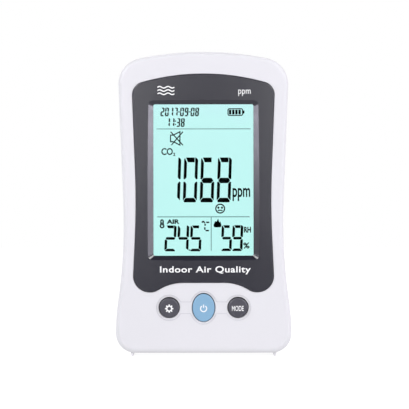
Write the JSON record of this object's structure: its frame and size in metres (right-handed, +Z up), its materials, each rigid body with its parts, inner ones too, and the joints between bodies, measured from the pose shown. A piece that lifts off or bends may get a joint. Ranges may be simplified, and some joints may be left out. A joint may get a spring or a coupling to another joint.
{
  "type": "carbon dioxide monitor",
  "caption": "Desktop air quality monitor: waisted white case, dark display bezel, segment display, keys and a fold-out stand.",
  "frame": {"origin": "on the desk, under the middle of the case", "axes": "+Z up along the case's height, +X to the right of someone facing the display, +Y towards the back"},
  "size_m": [0.0936, 0.0339, 0.162],
  "materials": {
    "case_white": "fine moulded texture, matte",
    "bezel_charcoal": "satin charcoal",
    "window_clear": "clear acrylic",
    "key_charcoal": "satin charcoal",
    "key_blue": "satin light blue",
    "foot_rubber": "soft matte light grey",
    "screw_steel": "zinc plated",
    "filter_mesh": "fine woven black mesh",
    "adhesive_tape": "black foam tape",
    "lcd_glass": "polished glass",
    "polarizer_film": "pale cyan lit film",
    "diffuser_film": "matte white film",
    "light_guide": "clear moulded acrylic",
    "reflector_film": "white reflective film",
    "led_strip": "white strip with yellow lamps",
    "holder_white": "white moulded frame",
    "contact_rubber": "striped elastomer",
    "board_green": "green solder mask",
    "chip_black": "moulded epoxy",
    "capacitor_can": "bare can",
    "crystal_can": "plated can",
    "resistor_black": "ceramic with printed film",
    "capacitor_tan": "ceramic",
    "port_steel": "nickel plated steel",
    "sensor_gold": "gold plated housing",
    "membrane_white": "porous white sheet",
    "sensor_white": "white package",
    "pouch_silver": "laminated pouch",
    "foam_black": "soft foam",
    "wire_red": "insulation",
    "wire_black": "insulation",
    "plug_white": "ivory nylon",
    "switch_steel": "pressed cover",
    "switch_black": "moulded"
  },
  "bodies": {
    "case": {"front_shell": "case_white", "rear_cover": "case_white", "case_screws": "screw_steel", "left_foot_strip": "foot_rubber", "right_foot_strip": "foot_rubber", "dust_filter": "filter_mesh", "display_bezel": "bezel_charcoal", "bezel_adhesive": "adhesive_tape", "display_window": "window_clear", "lcd_front_polarizer": "polarizer_film", "lcd_front_glass": "lcd_glass", "lcd_rear_glass": "lcd_glass", "lcd_rear_polarizer": "polarizer_film", "backlight_diffuser": "diffuser_film", "backlight_guide": "light_guide", "backlight_reflector": "reflector_film", "backlight_leds": "led_strip", "display_holder": "holder_white", "contact_strip": "contact_rubber", "main_board": "board_green", "board_screws": "screw_steel", "microcontroller": "chip_black", "charge_controller": "chip_black", "memory_chip": "chip_black", "clock_crystal": "crystal_can", "boost_inductor": "chip_black", "bulk_capacitors": "capacitor_can", "chip_resistors": "resistor_black", "chip_capacitors": "capacitor_tan", "buzzer": "chip_black", "charging_port_shell": "port_steel", "charging_port_tongue": "chip_black", "gas_sensor_board": "board_green", "gas_sensor_left_header": "chip_black", "gas_sensor_right_header": "chip_black", "gas_sensor_chamber": "sensor_gold", "gas_sensor_membranes": "membrane_white", "humidity_sensor": "sensor_white", "battery_cell": "pouch_silver", "battery_protection_board": "board_green", "battery_pad": "foam_black", "battery_lead_black": "wire_black", "battery_lead_red": "wire_red", "battery_plug": "plug_white", "battery_socket": "plug_white", "settings_switch_housing": "switch_steel", "power_switch_housing": "switch_steel", "mode_switch_housing": "switch_steel"},
    "stand": {"fold_out_stand": "case_white"},
    "settings_button": {"settings_key": "key_charcoal", "settings_switch_plunger": "switch_black"},
    "power_button": {"power_key": "key_blue", "power_switch_plunger": "switch_black"},
    "mode_button": {"mode_key": "key_charcoal", "mode_switch_plunger": "switch_black"}
  },
  "joints": [
    {"name": "stand_hinge", "type": "hinge", "parent": "case", "child": "stand", "pos_m": [0, 0.0148, 0.0735], "axis": [1, 0, 0], "range_deg": [0, 35]},
    {"name": "settings_button_press", "type": "slide", "parent": "case", "child": "settings_button", "axis": [0, 1, 0], "range_m": [0, 0.00035], "stiffness_N_per_m": 4500, "springref_m": -0.00005},
    {"name": "power_button_press", "type": "slide", "parent": "case", "child": "power_button", "axis": [0, 1, 0], "range_m": [0, 0.00035], "stiffness_N_per_m": 4500, "springref_m": -0.00005},
    {"name": "mode_button_press", "type": "slide", "parent": "case", "child": "mode_button", "axis": [0, 1, 0], "range_m": [0, 0.00035], "stiffness_N_per_m": 4500, "springref_m": -0.00005}
  ]
}
